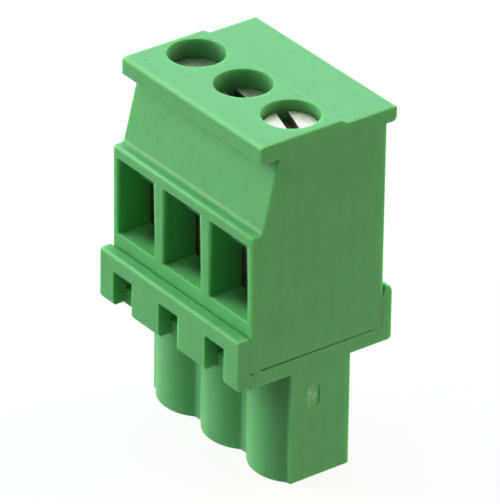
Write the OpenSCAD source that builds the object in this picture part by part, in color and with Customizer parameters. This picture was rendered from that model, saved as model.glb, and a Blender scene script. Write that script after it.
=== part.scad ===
// Pluggable screw terminal block, three poles, in millimetres.
// A clamp housing sits in the tray of a plug housing. Each pole holds a screw, a rising cage
// that the screw lifts, a sheet-metal contact and a steel spring round the contact's fork.
// X runs along the row of poles, wires enter from -Y, Z is up. The block stands on its plug,
// and the origin is the middle of its footprint there.

/* [Row of poles] */
// Distance from one pole to the next
pitch = 5.08; // [4.8:0.01:6.2]

/* [Clamp housing] */
// Depth of the clamp housing from its front wall to its back wall
clamp_d = 10.68; // [10.2:0.01:13]
// Thickness of the top plate
lip_t = 1.35; // [0.8:0.05:1.5]
// How far the top plate's front edge lies behind the front wall
lip_setback = 0.62; // [0:0.01:1]
// How far the sloping front is set back under the top plate
slope_setback = 1.41; // [1:0.01:1.6]
// How far the foot of the slope lies behind the front wall
ledge_d = 0.78; // [0.6:0.01:1.2]
// Radius in the corner between ledge and slope
ledge_fillet = 0.35; // [0.1:0.05:0.8]
// How far the top plate overhangs the back wall
lip_back = 0.82; // [0.3:0.01:1.2]
// Thickness of the top plate's overhang behind the back wall
back_lip_t = 1.15; // [0.8:0.05:1.5]
// Depth from the lip's front edge to the step in the top face
step_at = 6.43; // [6.2:0.01:7]
// Drop of the top face behind the step
step_drop = 0.32; // [0.1:0.01:0.5]
// Length of the short slope down that step
step_run = 0.5; // [0.2:0.05:0.8]

/* [Wire windows] */
// Width of a window
window_w = 3.9; // [3.2:0.05:4.2]
// Height of a window at the front wall
window_h = 5.56; // [4.6:0.01:6.7]
// Height of the window sill above the tray floor
sill_h = 3.74; // [3.4:0.01:4.4]
// Height of the front wall above a window
bar_h = 0.85; // [0.6:0.01:1.2]
// Depth of the window in front of its inner lintel
funnel_d = 1.7; // [1:0.05:2]
// Height of the wire space under the lintel and the clamping tongue
wire_h = 3.79; // [3.2:0.01:4.4]

/* [Screws] */
// Diameter of the screw shank
shank_d = 2.94; // [2.4:0.01:3.6]
// How far the screw head stands out past the shank
head_rim = 0.38; // [0.25:0.01:0.5]
// Thickness of the screw head
head_h = 1.3; // [1:0.05:1.6]
// Width of the driver slot
slot_w = 0.8; // [0.5:0.05:1]
// Depth of the driver slot
slot_d = 0.75; // [0.4:0.05:1]
// Depth of a fully driven head's top below the top face
head_depth = 1.35; // [0.8:0.01:1.6]
// How far the third screw stands backed out
backed_out = 0.56; // [0:0.01:0.7]
// Radial gap between head and hole
head_gap = 0.11; // [0.05:0.01:0.2]
// Thickness of the shoulder under the heads
shoulder_t = 0.5; // [0.3:0.05:0.8]
// Distance of the screws behind the front wall
screw_y = 4.82; // [4.6:0.01:5.2]

/* [Clamp cages] */
// Depth of a cage along the wire
cage_d = 4.4; // [3.8:0.05:4.8]
// Thickness of a cage's side walls
cage_wall = 0.4; // [0.3:0.05:0.5]
// Thickness of a cage's threaded top
cage_top_t = 1.4; // [1:0.05:1.8]
// Thickness of a cage's floor
cage_floor_t = 0.8; // [0.5:0.05:1]
// Inner corner radius of a cage
cage_r = 0.45; // [0.1:0.05:0.6]

/* [Contacts] */
// Thickness of the contact sheet
sheet_t = 0.7; // [0.5:0.01:0.85]
// Width of the clamping tongue and the leg
tongue_w = 2.6; // [2:0.05:2.8]
// Half the gap between the fork's tines where they grip a pin
grip = 0.44; // [0.3:0.01:0.5]
// Length of a tine along the wire direction
tine_d = 2.65; // [2:0.05:2.8]
// Thickness of the spring strip
spring_t = 0.25; // [0.15:0.01:0.3]

/* [Plug housing] */
// Length of the plug below the tray
plug_len = 8.35; // [8:0.01:10.5]
// Depth of the plug without its ribs
plug_d = 4.82; // [4.6:0.01:6]
// How far the plug's flat front lies behind the clamp housing's front wall
plug_y = 3.33; // [3:0.01:3.6]
// How far the round ribs stand out of the plug's front
rib_out = 0.9; // [0.5:0.01:1.2]
// Flat width left between two ribs, without their fillets
valley_w = 0.64; // [0.2:0.01:1]
// Radius of the hollow at the foot of a rib
rib_foot = 0.4; // [0.1:0.05:0.6]
// Thickness of the tray floor
tray_t = 1.12; // [0.8:0.01:1.5]
// Thickness of the front flange
flange_t = 1.05; // [0.8:0.01:1.4]
// Height of the front flange above the tray floor
flange_h = 2.83; // [2.4:0.01:3.4]
// Thickness of the rear flange
rear_t = 0.77; // [0.6:0.01:1.2]
// Height of the rear flange above the tray floor
rear_h = 3.08; // [2.8:0.01:4]
// Width of a latch notch in the front flange
notch_w = 2.05; // [1.6:0.05:2.4]
// Height of a latch notch above the tray floor
notch_h = 1.61; // [1:0.01:2]
// Depth of the latch pocket in the clamp housing behind a notch
pocket_d = 1.3; // [0.6:0.05:1.8]
// Width of a pin entry
entry_w = 1.6; // [1.2:0.05:1.8]
// Thickness of the plug's end wall
end_wall = 1.2; // [0.8:0.05:1.5]
// Chamfer that leads a pin into its entry
lead_in = 0.45; // [0.2:0.05:0.6]

/* [Hidden] */
poles = 3;

$fn = 64;
arc_steps = 6;
rib_steps = 24;
over = 1;

// Turn of each driver slot from the X axis, anticlockwise from above
slot_turn = [28, -8, -18];
// How far each screw stands above its seat
screw_lift = [0, 0, backed_out];

// Gaps
seat_gap = 0.03;
fit_gap = 0.02;
slide_gap = 0.1;
thread_gap = 0.06;
lift_gap = 0.05;
// Height of the wire space that a fully raised cage leaves
wire_left = 0.19;
seam_front = 0.18;
seam_back = 0.1;
cavity_gap = 0.12;

// Edge radii
edge_r = 0.25;
lip_edge_r = 0.12;
rear_edge_r = 0.3;
back_lip_r = 0.4;
toe_r = 0.6;
rear_top_r = 0.62;
corner_r = 0.4;
bend_r = 0.15;
screw_bevel = 0.2;

// Feet on which the clamp housing stands in the tray
foot_at = 0.3;
foot_w = 0.48;
foot_chamfer = 0.17;

// Relief behind the front flange's top edge
relief = 0.2;

// Grooves in a cage's floor that bite into the wire
groove_w = 0.2;
groove_pitch = 1;

// Mark where the plug's mould was filled, on its right side
gate_w = 0.9;
gate_l = 1.73;
gate_depth = 0.06;
gate_nub_d = 0.4;
gate_y = 5.23;
gate_z = 6.18;

// Snap ridges that hold the clamp housing in the tray
snap_h = 1.5;
snap_out = 0.18;
snap_half = 0.25;
snap_inset = 0.9;

row_w = poles * pitch;
tray_z = plug_len;
floor_z = tray_z + tray_t;
sill_z = floor_z + sill_h;
ledge_z = sill_z + window_h + bar_h;
lintel_z = sill_z + wire_h;
tongue_top_z = lintel_z + sheet_t;
head_d = shank_d + 2 * head_rim;

// The clamp housing is as high as its stack of cage, lift, shoulder and screw head asks for
cage_bottom_z = sill_z - cage_floor_t;
cage_top_z = tongue_top_z + slide_gap + cage_top_t;
cage_lift = wire_h - wire_left;
chamber_top_z = cage_top_z + cage_lift + lift_gap;
seat_z = chamber_top_z + shoulder_t;
top_z = seat_z + head_h + head_depth;
lip_z = top_z - lip_t;
back_lip_z = top_z - step_drop - back_lip_t;

lip_y = lip_setback;
slope_top_y = lip_y + slope_setback;
step_y = lip_y + step_at;
lip_back_y = clamp_d + lip_back;
cage_in_w = shank_d + 2 * slide_gap;
cage_w = cage_in_w + 2 * cage_wall;
cage_y = screw_y - cage_d / 2;
chamber_w = cage_w + 2 * slide_gap;
chamber_y = cage_y - slide_gap / 2;
chamber_back_y = cage_y + cage_d + slide_gap;

// The rib's radius follows from its width and how far it stands out
rib_w = pitch - valley_w;
rib_r = (rib_w * rib_w / 4 + rib_out * rib_out) / (2 * rib_out);
rib_foot_r = min(rib_foot, (pitch * pitch - rib_w * rib_w) / (8 * rib_out));

// Fork: spread of its tines above the grip, and heights above the plug's end wall
tine_spread = 0.16;
tip_h = 0.3;
grip_h = 2.1;
root_depth = 0.35;
tine_flare = 0.4;
spring_inset = 0.1;
spring_w = 3;
spring_set = 0.2;
leg_offset = 0.8;
plate_gap = 0.3;

// The fork hangs behind the middle of the plug, and its back plate fixes the rest in Y
fork_y = plug_y + (plug_d - rib_out) / 2;
plate_back_y = fork_y + tine_d / 2 + sheet_t / 2;
tine_front_y = plate_back_y - tine_d;
leg_back_y = plate_back_y + sheet_t + bend_r + leg_offset;
tine_root_x = grip + tine_spread + sheet_t;
tine_tip_z = end_wall + tip_h;
tine_grip_z = end_wall + grip_h;
tine_root_z = tray_z - root_depth;
spring_z0 = tine_grip_z + spring_inset;
spring_z1 = spring_z0 + spring_w;
spring_front_y = tine_front_y + spring_set;
spring_back_y = plate_back_y + fit_gap + spring_t;
cavity_half = tine_root_x + spring_t + cavity_gap;
cavity_y0 = tine_front_y - 2 * cavity_gap;
cavity_y1 = spring_back_y + cavity_gap;

// The footprint runs from the front flange to the top plate's back edge
frame_y = (flange_t + fit_gap - lip_back_y) / 2;

function pole_x(n) = (n - (poles + 1) / 2) * pitch;

// Points of an arc about [cx, cy], from angle a0 to angle a1
function arc(cx, cy, r, a0, a1, steps = arc_steps) =
    [for (k = [0 : steps]) let (a = a0 + (a1 - a0) * k / steps)
        [cx + r * cos(a), cy + r * sin(a)]];

// Front outline of the plug at a pole: a round rib with a hollow at each foot
function rib_points(n) =
    let (a = asin((rib_r - rib_out + rib_foot_r) / (rib_r + rib_foot_r)),
         x = (rib_r + rib_foot_r) * cos(a),
         foot_y = plug_y - rib_foot_r)
    concat(arc(pole_x(n) - x, foot_y, rib_foot_r, 90, a),
           arc(pole_x(n), plug_y - rib_out + rib_r, rib_r, 180 + a, 360 - a, rib_steps),
           arc(pole_x(n) + x, foot_y, rib_foot_r, 180 - a, 90));

// Half the width of a tine's outer face at a height, and of its inner face
function tine_out(z) = grip + sheet_t
    + (tine_root_x - grip - sheet_t) * max(0, z - tine_grip_z) / (tine_root_z - tine_grip_z);
function tine_in(z) = tine_out(z) - sheet_t;

// Draws a Y-Z outline along X, w wide about the middle
module along_x(w) {
    translate([-w / 2, 0, 0]) rotate([90, 0, 90]) linear_extrude(w) children();
}

// Draws an X-Z outline along Y from y0 to y1
module along_y(y0, y1) {
    translate([0, y1, 0]) rotate([90, 0, 0]) linear_extrude(y1 - y0) children();
}

// Box of width w about the middle, from y0 to y1 and z0 to z1
module bar(w, y0, y1, z0, z1) {
    translate([-w / 2, y0, z0]) cube([w, y1 - y0, z1 - z0]);
}

// Moves the row of poles into the part's frame
module in_frame() {
    translate([0, frame_y, 0]) children();
}

module at_pole(n) {
    translate([pole_x(n), 0, 0]) children();
}

module at_each_pole() {
    for (n = [1 : poles]) at_pole(n) children();
}

// Side outline of the clamp housing, with its top plate, sloping front and ledge
module clamp_outline() {
    foot_y = foot_at + foot_w;
    back_foot_y = clamp_d - foot_at - foot_w;
    slope_a = atan2(slope_top_y - ledge_d, lip_z - ledge_z);
    fillet_run = ledge_fillet * tan(45 - slope_a / 2);
    polygon(concat(
        [[0, floor_z + foot_chamfer]],
        arc(edge_r, ledge_z - edge_r, edge_r, 180, 90),
        arc(ledge_d - fillet_run, ledge_z + ledge_fillet, ledge_fillet, -90, -slope_a),
        [[slope_top_y, lip_z]],
        [[lip_y, lip_z]],
        arc(lip_y + lip_edge_r, top_z - lip_edge_r, lip_edge_r, 180, 90),
        [[step_y, top_z], [step_y + step_run, top_z - step_drop]],
        arc(lip_back_y - rear_edge_r, top_z - step_drop - rear_edge_r, rear_edge_r, 90, 0),
        arc(lip_back_y - back_lip_r, back_lip_z + back_lip_r, back_lip_r, 0, -90),
        [[clamp_d, back_lip_z], [clamp_d, floor_z + foot_chamfer],
         [clamp_d - foot_at, floor_z], [back_foot_y, floor_z],
         [back_foot_y, floor_z + seam_back], [foot_y, floor_z + seam_front],
         [foot_y, floor_z], [foot_at, floor_z]]));
}

// Wire window: a full-height mouth, then the lower space under the lintel
module wire_window() {
    bar(window_w, -over, funnel_d, sill_z, sill_z + window_h);
    bar(window_w, funnel_d - fit_gap, chamber_y + fit_gap, sill_z, lintel_z);
}

// Chamber of the cage, with the channel behind it for the contact's leg
module cage_chamber() {
    bar(chamber_w, chamber_y, chamber_back_y, floor_z - over, chamber_top_z);
    bar(tongue_w + 2 * slide_gap, chamber_back_y - fit_gap, leg_back_y + slide_gap,
        floor_z - over, tongue_top_z + slide_gap);
}

// Stepped hole from the top face: head above the shoulder, shank through it
module screw_hole() {
    translate([0, screw_y, seat_z]) cylinder(d = head_d + 2 * head_gap, h = head_depth + head_h + over);
    translate([0, screw_y, chamber_top_z - fit_gap])
        cylinder(d = shank_d + 2 * head_gap, h = shoulder_t + 2 * fit_gap);
}

// Three-cornered ridge across the row, proud of a wall at y towards dir, grown by gap
module snap_ridge(y, dir, gap) {
    z = floor_z + snap_h;
    h = snap_half + gap;
    out = snap_out + gap;
    along_x(row_w - 2 * snap_inset + 2 * gap)
        polygon([[y, z - h], [y + dir * out, z], [y, z + h], [y - dir * fit_gap, z + h],
                 [y - dir * fit_gap, z - h]]);
}

module clamp_housing() {
    color([0.36, 0.70, 0.42]) in_frame() difference() {
        along_x(row_w) clamp_outline();
        at_each_pole() {
            wire_window();
            cage_chamber();
            screw_hole();
            bar(notch_w, -over, pocket_d, floor_z - over, floor_z + notch_h);
        }
        snap_ridge(0, 1, fit_gap);
        snap_ridge(clamp_d, -1, fit_gap);
    }
}

// Segment of the front flange, with its two lower corners rounded
module flange_segment(x0, x1) {
    translate([x0 + corner_r, tray_z]) square([x1 - x0 - 2 * corner_r, tray_t + flange_h]);
    translate([x0, tray_z + corner_r]) square([x1 - x0, tray_t + flange_h - corner_r]);
    for (x = [x0 + corner_r, x1 - corner_r])
        translate([x, tray_z + corner_r]) circle(corner_r);
}

// Front flange: a rounded wall, notched at each pole for the header's latches
module front_flange() {
    front_y = -flange_t - fit_gap;
    intersection() {
        along_x(row_w) polygon(concat(
            arc(front_y + toe_r, tray_z + toe_r, toe_r, 270, 180),
            arc(front_y + edge_r, floor_z + flange_h - edge_r, edge_r, 180, 90),
            [[-relief, floor_z + flange_h], [-fit_gap, floor_z + flange_h - 2 * relief],
             [-fit_gap, tray_z]]));
        along_y(front_y - over, over) union() {
            translate([-row_w / 2, floor_z + notch_h]) square([row_w, flange_h]);
            for (n = [0 : poles]) flange_segment(
                n == 0 ? -row_w / 2 : pole_x(n) + notch_w / 2,
                n == poles ? row_w / 2 : pole_x(n + 1) - notch_w / 2);
        }
    }
}

// Tray floor and rear flange
module tray() {
    inner_y = clamp_d + fit_gap;
    back_y = inner_y + rear_t;
    rear_z = floor_z + rear_h;
    along_x(row_w) polygon(concat(
        [[-fit_gap, tray_z], [-fit_gap, floor_z], [inner_y, floor_z],
         [inner_y, rear_z - 1.2 * rear_top_r], [back_y - rear_top_r, rear_z - rear_top_r / 2],
         [back_y - rear_top_r, rear_z]],
        arc(back_y - rear_top_r, rear_z - rear_top_r, rear_top_r, 75, 0),
        arc(back_y - rear_edge_r, tray_z + rear_edge_r, rear_edge_r, 0, -90)));
}

// Plug with a round rib in front of each contact
module plug_block() {
    back_y = plug_y + plug_d;
    linear_extrude(tray_z + fit_gap) polygon(concat(
        [[-row_w / 2, back_y], [-row_w / 2, plug_y]],
        [for (n = [1 : poles]) each rib_points(n)],
        [[row_w / 2, plug_y], [row_w / 2, back_y]]));
}

// Shallow oval recess with a nub in it, on the plug's right side
module gate_mark() {
    half = (gate_l - gate_w) / 2;
    translate([row_w / 2, gate_y, gate_z]) rotate([0, -90, 0]) difference() {
        translate([0, 0, -over]) linear_extrude(gate_depth + over) union() {
            square([2 * half, gate_w], center = true);
            for (side = [-1, 1]) translate([side * half, 0]) circle(d = gate_w);
        }
        translate([0, 0, -gate_depth / 2]) cylinder(d = gate_nub_d, h = 2 * gate_depth);
    }
}

// Square pin entry that opens downwards
module pin_entry() {
    half = entry_w / 2;
    mouth = half + lead_in;
    intersection() {
        along_x(2 * mouth) translate([fork_y, 0])
            polygon([[-mouth, 0], [mouth, 0], [half, lead_in], [half, end_wall + over],
                     [-half, end_wall + over], [-half, lead_in]]);
        along_y(fork_y - mouth, fork_y + mouth)
            polygon([[-mouth, 0], [mouth, 0], [half, lead_in], [half, end_wall + over],
                     [-half, end_wall + over], [-half, lead_in]]);
    }
}

module plug_housing() {
    pad_y1 = cavity_y0 - fit_gap;
    color([0.36, 0.70, 0.42]) in_frame() {
        difference() {
            union() {
                front_flange();
                tray();
                plug_block();
            }
            at_each_pole() {
                bar(2 * cavity_half, cavity_y0, cavity_y1, end_wall, floor_z + over);
                pin_entry();
            }
            gate_mark();
        }
        // Pads under the cages
        at_each_pole() bar(cage_w, cage_y + slide_gap, pad_y1, floor_z, cage_bottom_z - seat_gap);
        snap_ridge(-fit_gap, 1, 0);
        snap_ridge(clamp_d + fit_gap, -1, 0);
    }
}

// Slotted captive screw: flat head, plain shank down to just above the tongue
module clamp_screw(n) {
    seat = seat_z + seat_gap;
    shank_l = seat - tongue_top_z - seat_gap;
    bevel = screw_bevel;
    color([0.78, 0.79, 0.74]) in_frame() at_pole(n) translate([0, screw_y, seat + screw_lift[n - 1]])
        difference() {
            union() {
                rotate_extrude() polygon([[0, 0], [head_d / 2, 0], [head_d / 2, head_h - bevel / 2],
                    [head_d / 2 - bevel / 2, head_h], [0, head_h]]);
                translate([0, 0, -shank_l]) rotate_extrude() polygon([[0, 0],
                    [shank_d / 2 - bevel, 0], [shank_d / 2, bevel], [shank_d / 2, shank_l],
                    [0, shank_l]]);
            }
            rotate([0, 0, slot_turn[n - 1]])
                translate([-head_d, -slot_w / 2, head_h - slot_d]) cube([2 * head_d, slot_w, head_h]);
        }
}

// Rising cage: a closed frame along the wire, with the screw's thread in its top
module clamp_cage(n) {
    inner_h = tongue_top_z + slide_gap - sill_z;
    color([0.70, 0.68, 0.60]) in_frame() at_pole(n) difference() {
        bar(cage_w, cage_y, cage_y + cage_d, cage_bottom_z, cage_top_z);
        along_y(cage_y - over, cage_y + cage_d + over) union() {
            translate([-cage_in_w / 2, sill_z + cage_r]) square([cage_in_w, inner_h - cage_r]);
            translate([-cage_in_w / 2 + cage_r, sill_z]) square([cage_in_w - 2 * cage_r, inner_h]);
            for (side = [-1, 1])
                translate([side * (cage_in_w / 2 - cage_r), sill_z + cage_r]) circle(cage_r);
        }
        translate([0, screw_y, cage_top_z - cage_top_t - over])
            cylinder(d = shank_d + 2 * thread_gap, h = cage_top_t + 2 * over);
        for (k = [-1 : 1]) translate([0, screw_y + k * groove_pitch, 0])
            bar(cage_in_w - 2 * cage_r, -groove_w / 2, groove_w / 2, sill_z - groove_w, sill_z + over);
    }
}

// Quarter ring for a bend of the sheet, inner radius bend_r, in quadrant qy, qz about its centre
module bend(cy, cz, qy, qz) {
    r = bend_r + sheet_t;
    translate([cy, cz]) intersection() {
        difference() {
            circle(r);
            circle(bend_r);
        }
        translate([qy > 0 ? 0 : -r, qz > 0 ? 0 : -r]) square(r);
    }
}

// Side outline of the contact sheet: tongue, leg, jog and the wide top of the back plate
module contact_outline() {
    leg_y = leg_back_y - sheet_t;
    jog_top = floor_z + sheet_t;
    front_y = plate_back_y - sheet_t;
    tongue_y = cage_y + slide_gap;
    r = bend_r + sheet_t;
    translate([tongue_y, lintel_z]) square([leg_back_y - r - tongue_y, sheet_t]);
    bend(leg_back_y - r, tongue_top_z - r, 1, 1);
    translate([leg_y, floor_z + r]) square([sheet_t, tongue_top_z - floor_z - 2 * r]);
    bend(leg_back_y - r, floor_z + r, 1, -1);
    translate([front_y + r, floor_z]) square([leg_back_y - front_y - 2 * r, sheet_t]);
    bend(front_y + r, jog_top - r, -1, 1);
    translate([front_y, spring_z1 + plate_gap]) square([sheet_t, jog_top - r - spring_z1 - plate_gap]);
}

// Contact: the tongue reaches through the cage, the fork below grips the pin from both sides
module contact(n) {
    color([0.80, 0.80, 0.78]) in_frame() at_pole(n) {
        along_x(tongue_w) contact_outline();
        bar(2 * tine_out(tine_grip_z), plate_back_y - sheet_t, plate_back_y, tine_grip_z, floor_z);
        for (side = [0, 1]) mirror([side, 0, 0]) along_y(tine_front_y, plate_back_y)
            polygon([[tine_in(tine_root_z), tine_root_z], [tine_in(tine_grip_z), tine_grip_z],
                     [tine_in(tine_grip_z) + tine_flare, tine_tip_z],
                     [tine_out(tine_grip_z) + tine_flare / 4, tine_tip_z],
                     [tine_out(tine_grip_z), tine_grip_z], [tine_out(tine_root_z), tine_root_z]]);
    }
}

// Steel spring bent round the back and both sides of the fork
module contact_spring(n) {
    near = fit_gap;
    far = fit_gap + spring_t;
    color([0.55, 0.56, 0.56]) in_frame() at_pole(n) {
        for (side = [0, 1]) mirror([side, 0, 0]) along_y(spring_front_y, spring_back_y)
            polygon([[tine_out(spring_z0) + near, spring_z0], [tine_out(spring_z1) + near, spring_z1],
                     [tine_out(spring_z1) + far, spring_z1], [tine_out(spring_z0) + far, spring_z0]]);
        along_y(plate_back_y + near, spring_back_y)
            polygon([[-tine_out(spring_z0) - far, spring_z0], [tine_out(spring_z0) + far, spring_z0],
                     [tine_out(spring_z1) + far, spring_z1], [-tine_out(spring_z1) - far, spring_z1]]);
    }
}

clamp_housing();
plug_housing();
for (n = [1 : poles]) {
    clamp_screw(n);
    clamp_cage(n);
    contact(n);
    contact_spring(n);
}
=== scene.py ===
import math

import bmesh
import bpy
from mathutils import Matrix, Vector


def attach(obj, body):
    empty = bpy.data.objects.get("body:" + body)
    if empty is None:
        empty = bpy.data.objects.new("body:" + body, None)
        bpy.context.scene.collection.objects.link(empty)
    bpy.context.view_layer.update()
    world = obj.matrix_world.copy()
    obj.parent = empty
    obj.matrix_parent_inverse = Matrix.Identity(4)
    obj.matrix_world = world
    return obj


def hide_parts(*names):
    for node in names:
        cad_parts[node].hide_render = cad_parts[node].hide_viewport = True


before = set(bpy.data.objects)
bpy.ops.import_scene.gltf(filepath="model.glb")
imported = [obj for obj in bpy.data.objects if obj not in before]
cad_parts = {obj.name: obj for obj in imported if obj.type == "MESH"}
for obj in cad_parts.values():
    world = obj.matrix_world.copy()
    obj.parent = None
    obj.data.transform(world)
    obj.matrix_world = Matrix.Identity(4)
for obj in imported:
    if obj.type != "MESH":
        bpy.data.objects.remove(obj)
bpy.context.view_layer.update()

MM = 0.001

# Camera: the photograph looks at the wire side from the right and from above, through a long lens,
# and leans a little to one side. Its distance and angles were fitted to the corners of the block.
azimuth = math.radians(53.067)
elevation = math.radians(29.774)
roll = math.radians(-0.796)
eye = Vector((276.291, -207.360, 211.005)) * MM
photo_width = 500
focal_pixels = 6099.56

right = Vector((math.cos(azimuth), math.sin(azimuth), 0))
forward = Vector((-math.sin(azimuth) * math.cos(elevation),
                  math.cos(azimuth) * math.cos(elevation), -math.sin(elevation)))
up = right.cross(forward)
leaning_right = right * math.cos(roll) - up * math.sin(roll)
leaning_up = right * math.sin(roll) + up * math.cos(roll)

camera = bpy.data.objects.new("camera", bpy.data.cameras.new("camera"))
bpy.context.scene.collection.objects.link(camera)
bpy.context.scene.camera = camera
camera.data.sensor_fit = "HORIZONTAL"
camera.data.lens = focal_pixels / photo_width * camera.data.sensor_width
camera.data.clip_start = 0.01
camera.data.clip_end = 10
turned = Matrix((leaning_right, leaning_up, -forward)).transposed().to_4x4()
camera.matrix_world = Matrix.Translation(eye) @ turned


# Clamp housing: the upper moulding, polyamide 66 coloured green right through. Its corners are
# rounded as the mould's are, the walls carry a fine eroded grain and faint flow marks, thin walls
# let a little light through, and the roundings are painted paler as a highlight.
poles = 3
pitch = 5.08
pole_x = [(n - (poles + 1) / 2) * pitch for n in range(1, poles + 1)]
screw_y = -0.395

wall_x = 7.62
front_y = -5.215
window_bar_z = 19.3
above_ledge_z = 20
tray_mouth_z = 11.8

top_z = 26.0
top_zone_z = 25.6
lip_y = -4.595
lip_zone_z = 24.6
lip_foot_from_z, lip_foot_to_z = 24.5, 24.9
holes_end_y = 5.9
step_end_x = 7.3
step_from_y, step_to_y = 1.8, 2.4
rear_lip_y = 6.285
rear_top_z = top_z - 0.32

# the solid's arcs along the top plate are of 0.12 and 0.3 mm, and these reach just past them
lip_arc = 0.122
rear_lip_arc = 0.302

# shares of the clamp housing's largest rounding
clamp_housing_rounding = 0.35
plate_end_share = 1
plate_back_share = 0.86
window_post_share = 0.7
lip_corner_share = 0.5
outer_share = 0.34
hole_and_window_share = 0.12

# how far a corner may lie off a plane that it counts as on, and how near two corners become one
slack = 0.01
join_gap = 0.001
weld_gap = 0.0005

flat_angle = math.radians(0.4)
sharp_angle = math.radians(24)


def linear(hex_colour):
    """sRGB hex to linear red, green, blue and alpha."""
    levels = [int(hex_colour[i:i + 2], 16) / 255 for i in (1, 3, 5)]
    return [v / 12.92 if v <= 0.04045 else ((v + 0.055) / 1.055) ** 2.4 for v in levels] + [1.0]


def add(tree, kind, sockets=(), **settings):
    """One node with its settings. Sockets are set to values, or linked to another node's output."""
    node = tree.nodes.new(kind)
    for name, value in settings.items():
        setattr(node, name, value)
    for name, value in dict(sockets).items():
        if isinstance(value, bpy.types.NodeSocket):
            tree.links.new(value, node.inputs[name])
        else:
            node.inputs[name].default_value = value
    return node


def new_material(name):
    """An empty material, its node tree and its output."""
    material = bpy.data.materials.new(name)
    material.use_nodes = True
    material.node_tree.nodes.clear()
    return material, material.node_tree, add(material.node_tree, "ShaderNodeOutputMaterial")


def nearness(tree, place, start, end, radius):
    """1 close to the line from start to end, falling to 0 at the radius. All in millimetres."""
    core = 0.35 * radius
    along = Vector(end) - Vector(start)
    from_start = add(tree, "ShaderNodeVectorMath", {0: place, 1: Vector(start) * MM},
                     operation="SUBTRACT").outputs[0]
    share = add(tree, "ShaderNodeVectorMath",
                {0: from_start, 1: along / along.length_squared / MM},
                operation="DOT_PRODUCT").outputs["Value"]
    share = add(tree, "ShaderNodeClamp", {"Value": share}).outputs[0]
    nearest = add(tree, "ShaderNodeVectorMath", {0: along * MM, "Scale": share},
                  operation="SCALE").outputs[0]
    gap = add(tree, "ShaderNodeVectorMath", {0: from_start, 1: nearest},
              operation="DISTANCE").outputs["Value"]
    return add(tree, "ShaderNodeMapRange",
               {"Value": gap, "From Min": core * MM, "From Max": radius * MM,
                "To Min": 1.0, "To Max": 0.0},
               interpolation_type="SMOOTHSTEP").outputs["Result"]


def moulded_polyamide(name, marks):
    """Green polyamide 66, satin as moulded. Light goes a little way in, so that it looks soft.

    A mark is its start, end and radius in millimetres, its hex colour and its strength.
    """
    material, tree, output = new_material(name)
    place = add(tree, "ShaderNodeTexCoord").outputs["Object"]
    # pigment in faint clouds of about 2 mm
    cloud = add(tree, "ShaderNodeTexNoise", {
        "Vector": place, "Scale": 0.5 / MM, "Detail": 6.0, "Roughness": 0.75}).outputs["Fac"]
    colour = add(tree, "ShaderNodeMix", {
        "Factor": cloud, "A": linear("#57AE65"), "B": linear("#65BD72")},
        data_type="RGBA").outputs["Result"]
    # flow marks: streaks 0.6 mm wide that run down the walls
    stretched = add(tree, "ShaderNodeMapping", {
        "Vector": place, "Scale": (1.6, 1.6, 0.12)}).outputs["Vector"]
    flow = add(tree, "ShaderNodeTexNoise", {
        "Vector": stretched, "Scale": 1 / MM, "Detail": 2.0}).outputs["Fac"]
    streak = add(tree, "ShaderNodeMapRange", {
        "Value": flow, "From Min": 0.45, "From Max": 0.7,
        "To Min": 0.0, "To Max": 0.18}).outputs["Result"]
    colour = add(tree, "ShaderNodeMix", {
        "Factor": streak, "A": colour, "B": linear("#519A5C")},
        data_type="RGBA").outputs["Result"]
    for start, end, radius, hex_colour, strength in marks:
        near = nearness(tree, place, start, end, radius)
        amount = add(tree, "ShaderNodeMath", {0: near, 1: strength},
                     operation="MULTIPLY").outputs[0]
        colour = add(tree, "ShaderNodeMix", {
            "Factor": amount, "A": colour, "B": linear(hex_colour)},
            data_type="RGBA").outputs["Result"]
    # along its rounded edges the plastic is painted paler, a painted highlight
    rim = add(tree, "ShaderNodeAttribute", attribute_name="rim").outputs["Fac"]
    painted_edge_highlight = add(tree, "ShaderNodeMath", {0: rim, 1: 0.22}, operation="MULTIPLY").outputs[0]
    colour = add(tree, "ShaderNodeMix", {
        "Factor": painted_edge_highlight, "A": colour, "B": linear("#A0E29E")},
        data_type="RGBA").outputs["Result"]
    # eroded grain, drawn at 0.12 mm so that it shows, over a waviness of 1.2 mm
    grain = add(tree, "ShaderNodeTexNoise", {
        "Vector": place, "Scale": 8 / MM, "Detail": 2.0}).outputs["Fac"]
    wave = add(tree, "ShaderNodeTexNoise", {
        "Vector": place, "Scale": 0.8 / MM, "Detail": 1.0}).outputs["Fac"]
    wavy = add(tree, "ShaderNodeBump", {
        "Height": wave, "Strength": 0.15, "Distance": 0.03 * MM}).outputs["Normal"]
    grained = add(tree, "ShaderNodeBump", {
        "Height": grain, "Strength": 0.5, "Distance": 0.005 * MM,
        "Normal": wavy}).outputs["Normal"]
    gloss = add(tree, "ShaderNodeMapRange", {
        "Value": grain, "To Min": 0.42, "To Max": 0.58}).outputs["Result"]
    shader = add(tree, "ShaderNodeBsdfPrincipled", {
        "Base Color": colour, "Roughness": gloss, "Normal": grained, "IOR": 1.53,
        "Specular IOR Level": 0.3, "Subsurface Weight": 1.0,
        "Subsurface Radius": (0.38, 1.0, 0.26), "Subsurface Scale": 0.9 * MM})
    tree.links.new(shader.outputs["BSDF"], output.inputs["Surface"])
    return material


def clean_solid(node):
    """A node's solid as a bmesh of flat faces, merged from its loose triangles."""
    work = bmesh.new()
    work.from_mesh(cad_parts[node].data)
    bmesh.ops.remove_doubles(work, verts=work.verts, dist=join_gap * MM)
    bmesh.ops.dissolve_limit(work, angle_limit=flat_angle, verts=work.verts, edges=work.edges)
    return work


def cut_across(work, height, clear_below=False):
    """Cuts a bmesh at a height in millimetres. What lies below it can be cleared away."""
    bmesh.ops.bisect_plane(work, geom=work.verts[:] + work.edges[:] + work.faces[:],
                           dist=weld_gap * MM, plane_co=(0, 0, height * MM), plane_no=(0, 0, 1),
                           clear_inner=clear_below)


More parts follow.
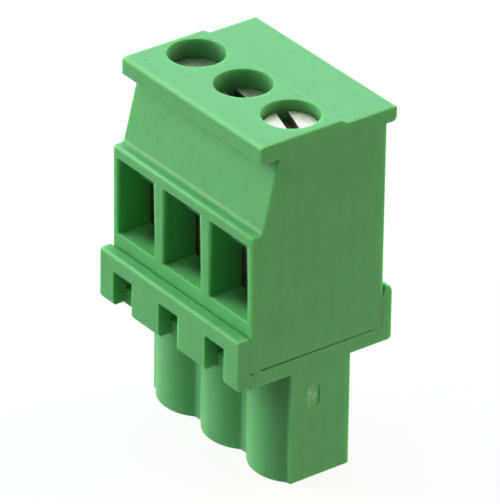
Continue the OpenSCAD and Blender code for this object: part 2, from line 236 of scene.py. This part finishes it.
def rounded(work, name, material, radius, share_of=lambda edge: 1, rim_at=lambda place: 0):
    """A new object with the convex edges of a bmesh rounded.

    share_of gives an edge's share of the radius, which is in millimetres. rim_at gives the
    strength of the attribute rim on the roundings, by place.
    """
    weights = work.edges.layers.float.new("bevel_weight_edge")
    for edge in work.edges:
        if len(edge.link_faces) == 2 and edge.is_convex and edge.calc_face_angle() > sharp_angle:
            edge[weights] = share_of(edge)
    mesh = bpy.data.meshes.new(name)
    work.to_mesh(mesh)
    work.free()
    rough = bpy.data.objects.new(name + "_rough", mesh)
    bpy.context.scene.collection.objects.link(rough)
    # the roundings get the second of two like material slots, which tells them from the flats
    mesh.materials.append(material)
    mesh.materials.append(material)
    bevel = rough.modifiers.new("rounding", "BEVEL")
    bevel.material = 1
    bevel.limit_method = "WEIGHT"
    bevel.width = radius * MM
    bevel.segments = 3
    bevel.use_clamp_overlap = False
    bevel.miter_outer = "MITER_ARC"
    bevel.loop_slide = False
    bevel.harden_normals = True
    # roundings of no width leave corners on top of each other, which are joined
    rough.modifiers.new("weld", "WELD").merge_threshold = weld_gap * MM
    evaluated = rough.evaluated_get(bpy.context.evaluated_depsgraph_get())
    finished = bpy.data.meshes.new_from_object(evaluated)
    bpy.data.objects.remove(rough)
    piece = bpy.data.objects.new(name, finished)
    bpy.context.scene.collection.objects.link(piece)
    flat = {v for face in finished.polygons if face.material_index == 0 for v in face.vertices}
    rim = finished.attributes.new("rim", "FLOAT", "POINT")
    rim.data.foreach_set("value", [0 if v.index in flat else rim_at(v.co / MM)
                                   for v in finished.vertices])
    finished.polygons.foreach_set("material_index", [0] * len(finished.polygons))
    finished.materials.clear()
    finished.materials.append(material)
    return piece


def between(edge, axis, low=-math.inf, high=math.inf):
    """Whether both ends of an edge lie between two places along an axis, in millimetres."""
    return all(low * MM < getattr(v.co, axis) < high * MM for v in edge.verts)


def on_side(edge):
    """Whether an edge lies in the left or the right side face."""
    return all(abs(v.co.x) > (wall_x - slack) * MM for v in edge.verts)


def clamp_housing_edge(edge):
    """An edge's share of the rounding. Inner edges, the step and the seam in the tray have none."""
    on_front = between(edge, "y", high=front_y + slack)
    on_top = between(edge, "z", low=top_zone_z)
    on_lip = between(edge, "y", high=lip_y + slack) and between(edge, "z", low=lip_zone_z)
    on_step = between(edge, "y", step_from_y, step_to_y) and not on_side(edge)
    on_back = on_top and between(edge, "y", low=rear_lip_y - slack)
    in_tray = between(edge, "z", high=tray_mouth_z + slack)
    in_hole = on_top and between(edge, "y", lip_y + 0.1, holes_end_y)
    upright = abs(edge.verts[0].co.z - edge.verts[1].co.z) > 0.9 * edge.calc_length()
    if in_tray or on_step or not (on_side(edge) or on_front or on_top or on_lip):
        return 0
    if upright and on_lip:
        return lip_corner_share
    if upright and on_front and not on_side(edge):
        return window_post_share
    if on_back:
        return plate_back_share
    if on_side(edge):
        return plate_end_share if on_top and edge.verts[0].co.x < 0 else outer_share
    return hole_and_window_share if in_hole or on_front else outer_share


def clamp_housing_rim(place):
    """How strongly a rounding is painted paler as a highlight: 0 in windows and holes, 2 on the
    ledge and under the lip, else 1.
    """
    in_window = place.z < window_bar_z and abs(place.x) < wall_x - 0.15
    in_hole = (place.z > top_zone_z and abs(place.x) < wall_x - 0.4
               and lip_y + 0.3 < place.y < holes_end_y)
    on_ledge = place.z < above_ledge_z and place.y < front_y + 0.2
    under_lip = lip_foot_from_z < place.z < lip_foot_to_z and place.y < lip_y + 0.2
    return 0 if in_window or in_hole else 2 if on_ledge or under_lip else 1


clamp_housing_marks = (
    # specks, dark on the top plate and yellowish on the front
    ((-6.148, -3.791, top_z), (-6.14, -3.78, top_z), 0.10, "#2C6238", 0.8),
    ((5.26, front_y, 19.02), (5.34, front_y, 19.2), 0.13, "#7D8F4C", 0.6),
    ((2.9, front_y, 16.19), (2.95, front_y, 16.25), 0.15, "#8E9A48", 0.6),
    ((3.09, front_y, 15.75), (3.09, front_y, 15.9), 0.13, "#96903C", 0.7),
    # shade on the step
    ((-step_end_x, 2.085, 25.84), (step_end_x, 2.085, 25.84), 0.4, "#4E9C5B", 0.4),
    # weld line down the slope, where two flows met
    ((-4.17, -3.71, 22.66), (-4.25, -4.12, 21.1), 0.1, "#47935A", 0.35),
    ((-4.25, -4.12, 21.1), (-4.27, -4.39, 20.07), 0.1, "#47935A", 0.35),
    # shade on the ridge of the step
    ((-step_end_x, 1.835, top_z), (step_end_x, 1.835, top_z), 0.2, "#4E9C5B", 0.55),
    # painted highlight along the crease at the foot of the slope
    ((-7.1, -4.42, 19.75), (5.4, -4.42, 19.75), 0.08, "#94D6A8", 0.05),
    # smudge on the right side, under the top plate
    ((wall_x, -2.6, 23.7), (wall_x, -2.4, 23.4), 0.6, "#4C9056", 0.3),
    # deep in the screw holes and the windows the plastic is painted dark, as painted shade. The
    # radius stays under half a pitch, or the marks would show through on the side faces
    *(((x, screw_y, 23.0), (x, screw_y, end_z), 2.5, "#04140A", 1.0)
      for x in pole_x for end_z in (24.6, 25)),
    *(((x, -2.5, 13.9), (x, -2.5, 16.0), 2.5, "#24401F", 0.9) for x in pole_x))

work = clean_solid("clamp_housing")
# the arcs along the top plate's front and back are squared up, and rounded again with its corners
for vert in work.verts:
    if vert.co.y < (lip_y + lip_arc) * MM and vert.co.z > (top_z - lip_arc) * MM:
        vert.co.y, vert.co.z = lip_y * MM, top_z * MM
    if (vert.co.y > (rear_lip_y - rear_lip_arc) * MM
            and vert.co.z > (rear_top_z - rear_lip_arc) * MM):
        vert.co.y, vert.co.z = rear_lip_y * MM, rear_top_z * MM
bmesh.ops.remove_doubles(work, verts=work.verts, dist=join_gap * MM)
# below the tray's mouth its corners stay square, so that the seam there is fine
cut_across(work, tray_mouth_z)
clamp_housing = rounded(work, "clamp_housing_moulding",
                        moulded_polyamide("polyamide_66_clamp_housing", clamp_housing_marks),
                        clamp_housing_rounding, clamp_housing_edge, clamp_housing_rim)
# the step across the top plate is blended into it by hand polishing of the mould
mesh = clamp_housing.data
normals = [Vector(corner.vector) for corner in mesh.corner_normals]
for face in mesh.polygons:
    on_step = all(step_from_y * MM < mesh.vertices[v].co.y < step_to_y * MM for v in face.vertices)
    if on_step and face.normal.z > 0.8:
        for corner in face.loop_indices:
            normals[corner] = Vector((0, 0, 1))
mesh.normals_split_custom_set(normals)
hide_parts("clamp_housing")
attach(clamp_housing, "block")


# Plug housing: the lower moulding of the same polyamide, a tray that grips the clamp housing over
# the ribbed plug. Its mould was filled through a gate on the right side, which left a dimple that
# carries a painted highlight.
plug_housing_rounding = 0.1
flange_share = 0.7
flange_y = front_y - 0.9
flange_rim_z = 12
toe_y = front_y - 0.3
toe_z = 9.05
seam_y = (-5.3, 5.6)
seam_z = (9.2, 12.4)
gate_y = (-0.7, 0.7)
gate_z = (4.9, 7.4)
pin_entries_y = (-1.6, 2.0)


def plug_housing_edge(edge):
    """An edge's share of the rounding: none at the gate, the toe, the seam and the pin entries."""
    on_flange = between(edge, "y", high=flange_y)
    on_foot = all(v.co.z < slack * MM and (v.co.y < pin_entries_y[0] * MM
                                           or v.co.y > pin_entries_y[1] * MM) for v in edge.verts)
    in_gate = on_side(edge) and between(edge, "z", *gate_z) and between(edge, "y", *gate_y)
    on_toe = between(edge, "y", high=toe_y) and between(edge, "z", high=toe_z)
    on_seam = on_side(edge) and between(edge, "z", *seam_z) and between(edge, "y", *seam_y)
    if in_gate or on_toe or on_seam:
        return 0
    return 1 if on_side(edge) or on_foot else flange_share if on_flange else 0


def plug_housing_rim(place):
    """How strongly a rounding is painted paler as a highlight. The front flange's upper edge gets
    the most.
    """
    return 2.5 if place.z > flange_rim_z and place.y < flange_y else 1


# painted highlight in the dimple: a pale wash over its floor, and its brightest spot
plug_housing_marks = (
    ((wall_x, -0.1, 6.7), (wall_x, -0.05, 5.7), 0.45, "#86CB92", 0.3),
    ((wall_x, -0.22, 6.4), (wall_x, -0.12, 6.0), 0.2, "#C6E8CB", 0.45))
plug_housing = rounded(clean_solid("plug_housing"), "plug_housing_moulding",
                       moulded_polyamide("polyamide_66_plug_housing", plug_housing_marks),
                       plug_housing_rounding, plug_housing_edge, plug_housing_rim)
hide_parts("plug_housing")
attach(plug_housing, "block")


# Clamp screws: turned from steel, zinc plated and clear passivated. The head is the CAD solid with
# the edges of its slot broken. The shank below it is rolled with a thread of 0.5 mm pitch that the
# cage rides on. The third screw stands backed out.
seat_z = 23.38
screw_lift = (0, 0, 0.56)
head_height = 1.3
slot_rounding = 0.05
shank_radius = 1.47
shank_tip_z = 17.73
shank_in_head = 0.05
thread_pitch = 0.5
thread_depth = 0.27
# heads 1 and 2 sit deep in their holes: their darker, greener tones are painted shade and a painted
# reflection of the green hole walls; the third stands backed out and is paler
screw_tones = (("#60715A", "#A3B79C"), ("#697A61", "#A6BB9E"), ("#B4B09E", "#CFCBBB"))


def zinc_plated_steel(name, x, head_top_z, dark, light):
    """Zinc plate: pale where clean, with turning rings, dull blotches of 0.5 mm, and painted shade
    below the head's top, in the slot.
    """
    material, tree, output = new_material(name)
    place = add(tree, "ShaderNodeTexCoord").outputs["Object"]
    centred = add(tree, "ShaderNodeMapping", {
        "Vector": place, "Location": (-x * MM, -screw_y * MM, 0)}).outputs[0]
    blotch = add(tree, "ShaderNodeTexNoise", {
        "Vector": centred, "Scale": 2 / MM, "Detail": 4.0, "Roughness": 0.65}).outputs["Fac"]
    colour = add(tree, "ShaderNodeMix", {
        "Factor": blotch, "A": linear(dark), "B": linear(light)},
        data_type="RGBA").outputs["Result"]
    # painted shade starts just below the head's top and is darkest from 0.4 mm down
    height = add(tree, "ShaderNodeSeparateXYZ", {0: place}).outputs["Z"]
    painted_slot_shade = add(tree, "ShaderNodeMapRange", {
        "Value": height, "From Min": (head_top_z - 0.4) * MM,
        "From Max": (head_top_z - 0.05) * MM, "To Min": 0.75, "To Max": 0.0}).outputs["Result"]
    colour = add(tree, "ShaderNodeMix", {
        "Factor": painted_slot_shade, "A": colour, "B": linear("#3E4234")},
        data_type="RGBA").outputs["Result"]
    rings = add(tree, "ShaderNodeTexWave", {
        "Vector": centred, "Scale": 2.2 / MM, "Distortion": 0.6, "Detail": 1.0},
        wave_type="RINGS", rings_direction="Z").outputs["Fac"]
    turned_face = add(tree, "ShaderNodeBump", {
        "Height": rings, "Strength": 0.25, "Distance": 0.01 * MM}).outputs["Normal"]
    pitted = add(tree, "ShaderNodeBump", {
        "Height": blotch, "Strength": 0.4, "Distance": 0.03 * MM,
        "Normal": turned_face}).outputs["Normal"]
    dull = add(tree, "ShaderNodeMapRange", {
        "Value": blotch, "From Min": 0.3, "From Max": 0.7,
        "To Min": 0.36, "To Max": 0.52}).outputs["Result"]
    shader = add(tree, "ShaderNodeBsdfPrincipled", {
        "Base Color": colour, "Metallic": 1.0, "Roughness": dull, "Normal": pitted})
    tree.links.new(shader.outputs["BSDF"], output.inputs["Surface"])
    return material


shank = bpy.data.node_groups.new("rolled_thread", "GeometryNodeTree")
shank.interface.new_socket("Geometry", in_out="OUTPUT", socket_type="NodeSocketGeometry")
shank_inputs = {
    name: shank.interface.new_socket(name, in_out="INPUT", socket_type=kind).identifier
    for name, kind in (("Major radius", "NodeSocketFloat"), ("Length", "NodeSocketFloat"),
                       ("Pitch", "NodeSocketFloat"), ("Depth", "NodeSocketFloat"),
                       ("Place", "NodeSocketVector"), ("Finish", "NodeSocketMaterial"))}
given = add(shank, "NodeGroupInput").outputs
blank = add(shank, "GeometryNodeMeshCylinder", {
    "Vertices": 48, "Side Segments": 110, "Fill Segments": 1,
    "Radius": given["Major radius"], "Depth": given["Length"]}, fill_type="NGON").outputs["Mesh"]
at = add(shank, "ShaderNodeSeparateXYZ", {
    0: add(shank, "GeometryNodeInputPosition").outputs[0]}).outputs
turn = add(shank, "ShaderNodeMath", {0: at["Y"], 1: at["X"]}, operation="ARCTAN2").outputs[0]
turn = add(shank, "ShaderNodeMath", {0: turn, 1: math.tau}, operation="DIVIDE").outputs[0]
rise = add(shank, "ShaderNodeMath", {0: at["Z"], 1: given["Pitch"]}, operation="DIVIDE").outputs[0]
phase = add(shank, "ShaderNodeMath", {0: rise, 1: turn}, operation="SUBTRACT").outputs[0]
# the groove is a triangle wave, cut flat at its crest and its root as in a rolled thread
groove = add(shank, "ShaderNodeMath", {0: phase, 1: 0.5}, operation="PINGPONG").outputs[0]
groove = add(shank, "ShaderNodeMapRange", {
    "Value": groove, "From Min": 0.08, "From Max": 0.44,
    "To Min": 0.0, "To Max": 1.0}).outputs["Result"]
# the thread runs out over the last 0.3 mm at the tip
tip = add(shank, "ShaderNodeMath", {0: given["Length"], 1: -0.5}, operation="MULTIPLY").outputs[0]
above_tip = add(shank, "ShaderNodeMath", {0: at["Z"], 1: tip}, operation="SUBTRACT").outputs[0]
taper = add(shank, "ShaderNodeMapRange", {
    "Value": above_tip, "From Min": 0.0, "From Max": 0.3 * MM,
    "To Min": 1.0, "To Max": 0.0}).outputs["Result"]
cut = add(shank, "ShaderNodeMath", {0: groove, 1: taper}, operation="MAXIMUM").outputs[0]
inward = add(shank, "ShaderNodeMath", {0: cut, 1: given["Depth"]}, operation="MULTIPLY").outputs[0]
inward = add(shank, "ShaderNodeMath", {0: inward, 1: given["Major radius"]},
             operation="DIVIDE").outputs[0]
inward = add(shank, "ShaderNodeMath", {0: inward, 1: -1.0}, operation="MULTIPLY").outputs[0]
outward = add(shank, "ShaderNodeCombineXYZ", {"X": at["X"], "Y": at["Y"]}).outputs[0]
offset = add(shank, "ShaderNodeVectorMath", {0: outward, "Scale": inward},
             operation="SCALE").outputs[0]
threaded = add(shank, "GeometryNodeSetPosition", {"Geometry": blank, "Offset": offset}).outputs[0]
placed = add(shank, "GeometryNodeTransform", {
    "Geometry": threaded, "Translation": given["Place"]}).outputs[0]
whole = add(shank, "GeometryNodeRealizeInstances", {"Geometry": placed}).outputs[0]
plated_shank = add(shank, "GeometryNodeSetMaterial", {
    "Geometry": whole, "Material": given["Finish"]}).outputs[0]
add(shank, "NodeGroupOutput", {"Geometry": plated_shank})


def slot_edge(edge):
    """1 for the slot's two long edges. Round the head's rim the solid has its chamfer."""
    on_top = between(edge, "z", low=seat_z + head_height - slack)
    return 1 if on_top and edge.calc_length() > 1 * MM else 0


for n, x, lift, tones in zip(range(1, poles + 1), pole_x, screw_lift, screw_tones):
    head_base = seat_z + lift
    finish = zinc_plated_steel(f"zinc_plated_steel_{n}", x, head_base + head_height, *tones)
    work = clean_solid(f"clamp_screw_{n}")
    cut_across(work, head_base + slack, clear_below=True)
    bmesh.ops.holes_fill(work, edges=work.edges[:])
    bmesh.ops.recalc_face_normals(work, faces=work.faces[:])
    screw = rounded(work, f"clamp_screw_{n}_head", finish, slot_rounding, slot_edge)

    tip_z = shank_tip_z + lift
    length = head_base + shank_in_head - tip_z
    carrier = bpy.data.objects.new(f"clamp_screw_{n}_shank",
                                   bpy.data.meshes.new(f"clamp_screw_{n}_shank"))
    bpy.context.scene.collection.objects.link(carrier)
    thread = carrier.modifiers.new("thread", "NODES")
    thread.node_group = shank
    for name, value in (("Major radius", shank_radius * MM), ("Length", length * MM),
                        ("Pitch", thread_pitch * MM), ("Depth", thread_depth * MM),
                        ("Place", Vector((x, screw_y, tip_z + length / 2)) * MM),
                        ("Finish", finish)):
        thread[shank_inputs[name]] = value
    evaluated = carrier.evaluated_get(bpy.context.evaluated_depsgraph_get())
    thread_mesh = bpy.data.meshes.new_from_object(evaluated)
    bpy.data.objects.remove(carrier)

    both = bmesh.new()
    both.from_mesh(screw.data)
    both.from_mesh(thread_mesh)
    both.to_mesh(screw.data)
    both.free()
    screw.name = f"slotted_screw_{n}"
    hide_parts(f"clamp_screw_{n}")
    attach(screw, f"screw_{n}")


# Clamp cages: closed frames of brass with three wire grooves in the floor, nickel plated. Each
# hangs on its screw and rises when the screw is turned in.
cage_rounding = 0.045


def plated(name, dark, light, rough_from, rough_to, grain_mm, stretch):
    """Plated or drawn sheet metal, with a brushed grain along one direction and soft blotches."""
    material, tree, output = new_material(name)
    place = add(tree, "ShaderNodeTexCoord").outputs["Object"]
    drawn = add(tree, "ShaderNodeMapping", {"Vector": place, "Scale": stretch}).outputs["Vector"]
    grain = add(tree, "ShaderNodeTexNoise", {
        "Vector": drawn, "Scale": 1 / (grain_mm * MM), "Detail": 3.0}).outputs["Fac"]
    blotch = add(tree, "ShaderNodeTexNoise", {
        "Vector": place, "Scale": 0.7 / MM, "Detail": 2.0}).outputs["Fac"]
    colour = add(tree, "ShaderNodeMix", {
        "Factor": blotch, "A": linear(dark), "B": linear(light)},
        data_type="RGBA").outputs["Result"]
    rough = add(tree, "ShaderNodeMapRange", {
        "Value": grain, "To Min": rough_from, "To Max": rough_to}).outputs["Result"]
    bump = add(tree, "ShaderNodeBump", {
        "Height": grain, "Strength": 0.3, "Distance": 0.01 * MM}).outputs["Normal"]
    shader = add(tree, "ShaderNodeBsdfPrincipled", {
        "Base Color": colour, "Metallic": 1.0, "Roughness": rough, "Normal": bump})
    tree.links.new(shader.outputs["BSDF"], output.inputs["Surface"])
    return material


# the nickel is painted a dark, warm grey: painted shade for the cages that sit in the dark windows
nickel = plated("nickel_plated_brass", "#5E5B52", "#7F7B71", rough_from=0.28, rough_to=0.45,
                grain_mm=0.12, stretch=(1, 1, 0.2))
for n in range(1, poles + 1):
    cage = rounded(clean_solid(f"clamp_cage_{n}"), f"rising_cage_{n}", nickel, cage_rounding)
    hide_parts(f"clamp_cage_{n}")
    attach(cage, f"cage_{n}")


# Contacts: stamped and bent from bronze strip, then tin plated. The tongue lies in the cage, and
# the fork hangs down into the plug and grips the header's pin.
contact_rounding = 0.04
shoulder_z = (9.3, 9.5)
# tin is pale and softly bright
tin = plated("tin_plated_bronze", "#C4C4BC", "#DBDAD2", rough_from=0.3, rough_to=0.5,
             grain_mm=0.1, stretch=(0.25, 1, 1))


def contact_edge(edge):
    """1 for all edges but those of the shallow shoulder under the tray's floor."""
    return 0 if between(edge, "z", *shoulder_z) else 1


for n in range(1, poles + 1):
    contact = rounded(clean_solid(f"contact_{n}"), f"fork_contact_{n}", tin, contact_rounding,
                      contact_edge)
    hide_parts(f"contact_{n}")
    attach(contact, "block")


# Contact springs: stainless spring strip bent round the back and both sides of each fork, which it
# presses together.
spring_rounding = 0.03
# drawn stainless strip is a cool grey with fine lines
steel = plated("stainless_spring_steel", "#9A9B9B", "#AFB0B0", rough_from=0.22, rough_to=0.36,
               grain_mm=0.1, stretch=(1, 1, 0.25))
for n in range(1, poles + 1):
    spring = rounded(clean_solid(f"contact_spring_{n}"), f"fork_spring_{n}", steel, spring_rounding)
    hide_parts(f"contact_spring_{n}")
    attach(spring, "block")


# Floor: a pale seamless sheet of board. It looks white to the camera and in reflections, and sends
# back less light than that, as board that lies in a light tent does.
reach = 1.0
floor_mesh = bpy.data.meshes.new("floor")
floor_mesh.from_pydata([(-reach, -reach, 0), (reach, -reach, 0), (reach, reach, 0),
                        (-reach, reach, 0)], [], [(0, 1, 2, 3)])
floor = bpy.data.objects.new("floor", floor_mesh)
bpy.context.scene.collection.objects.link(floor)


def seen_or_reflected(tree):
    """1 for camera rays, reflections and glass, 0 for light on its way to a surface."""
    path = add(tree, "ShaderNodeLightPath").outputs
    seen = add(tree, "ShaderNodeMath", {0: path["Is Camera Ray"], 1: path["Is Glossy Ray"]},
               operation="MAXIMUM").outputs[0]
    return add(tree, "ShaderNodeMath", {0: seen, 1: path["Is Transmission Ray"]},
               operation="MAXIMUM").outputs[0]


board, tree, output = new_material("white_board")
seen = seen_or_reflected(tree)
board_colour = add(tree, "ShaderNodeMix", {
    "Factor": seen, "A": linear("#666666"), "B": linear("#FAFAFA")},
    data_type="RGBA").outputs["Result"]
matt = add(tree, "ShaderNodeBsdfDiffuse", {"Color": board_colour}).outputs[0]
# on the block's right the board glows for light on its way to the block: a painted pool of light
# that lights it from below
pool_middle = Vector((28, 16, 0)) * MM
place = add(tree, "ShaderNodeTexCoord").outputs["Object"]
from_pool = add(tree, "ShaderNodeVectorMath", {0: place, 1: pool_middle},
                operation="DISTANCE").outputs["Value"]
pool = add(tree, "ShaderNodeMapRange", {
    "Value": from_pool, "From Min": 15 * MM, "From Max": 60 * MM,
    "To Min": 0.4, "To Max": 0.0}).outputs["Result"]
share = add(tree, "ShaderNodeMapRange", {"Value": seen, "To Min": pool, "To Max": 0.88}).outputs[0]
white = add(tree, "ShaderNodeEmission", {"Color": (1, 1, 1, 1), "Strength": 1.0}).outputs[0]
lit = add(tree, "ShaderNodeMixShader", {0: share, 1: matt, 2: white})
tree.links.new(lit.outputs[0], output.inputs["Surface"])
floor_mesh.materials.append(board)


# Light: a tent with four softboxes, one from the left, a weak one high in front, one from the right
# and behind and one from above and behind. Little light comes from where the camera looks in.
lamp_distance = 0.5
block_middle = Vector((0, 0, 0.013))


def softbox(name, direction, size, level, hex_colour):
    """A square softbox aimed at the block. Its level is the light it gives a surface facing it."""
    lamp = bpy.data.objects.new(name, bpy.data.lights.new(name, "AREA"))
    bpy.context.scene.collection.objects.link(lamp)
    lamp.data.size = size
    lamp.data.energy = level * math.pi ** 2 * lamp_distance ** 2
    lamp.data.color = linear(hex_colour)[:3]
    toward = Vector(direction).normalized()
    lamp.location = block_middle + toward * lamp_distance
    lamp.rotation_euler = toward.to_track_quat("Z", "Y").to_euler()


softbox("left_softbox", (-0.80, -0.50, 0.34), size=0.3, level=1.05, hex_colour="#FFFDFB")
softbox("front_softbox", (-0.12, -0.69, 0.71), size=0.4, level=0.36, hex_colour="#FFFBFA")
softbox("right_softbox", (0.45, 0.83, 0.32), size=0.5, level=1.32, hex_colour="#FFE7D2")
softbox("top_softbox", (-0.51, 0.39, 0.80), size=0.6, level=0.96, hex_colour="#D2E5FF")

# the tent's cloth is white to the camera and in reflections, and lights the block only faintly
world = bpy.data.worlds.new("tent")
bpy.context.scene.world = world
world.use_nodes = True
tree = world.node_tree
tree.nodes.clear()
cloth = add(tree, "ShaderNodeMapRange", {
    "Value": seen_or_reflected(tree), "To Min": 0.06, "To Max": 1.0}).outputs["Result"]
sky = add(tree, "ShaderNodeBackground", {"Color": (1, 1, 1, 1), "Strength": cloth})
add(tree, "ShaderNodeOutputWorld", {"Surface": sky.outputs["Background"]})

bpy.context.scene.view_settings.view_transform = "Standard"
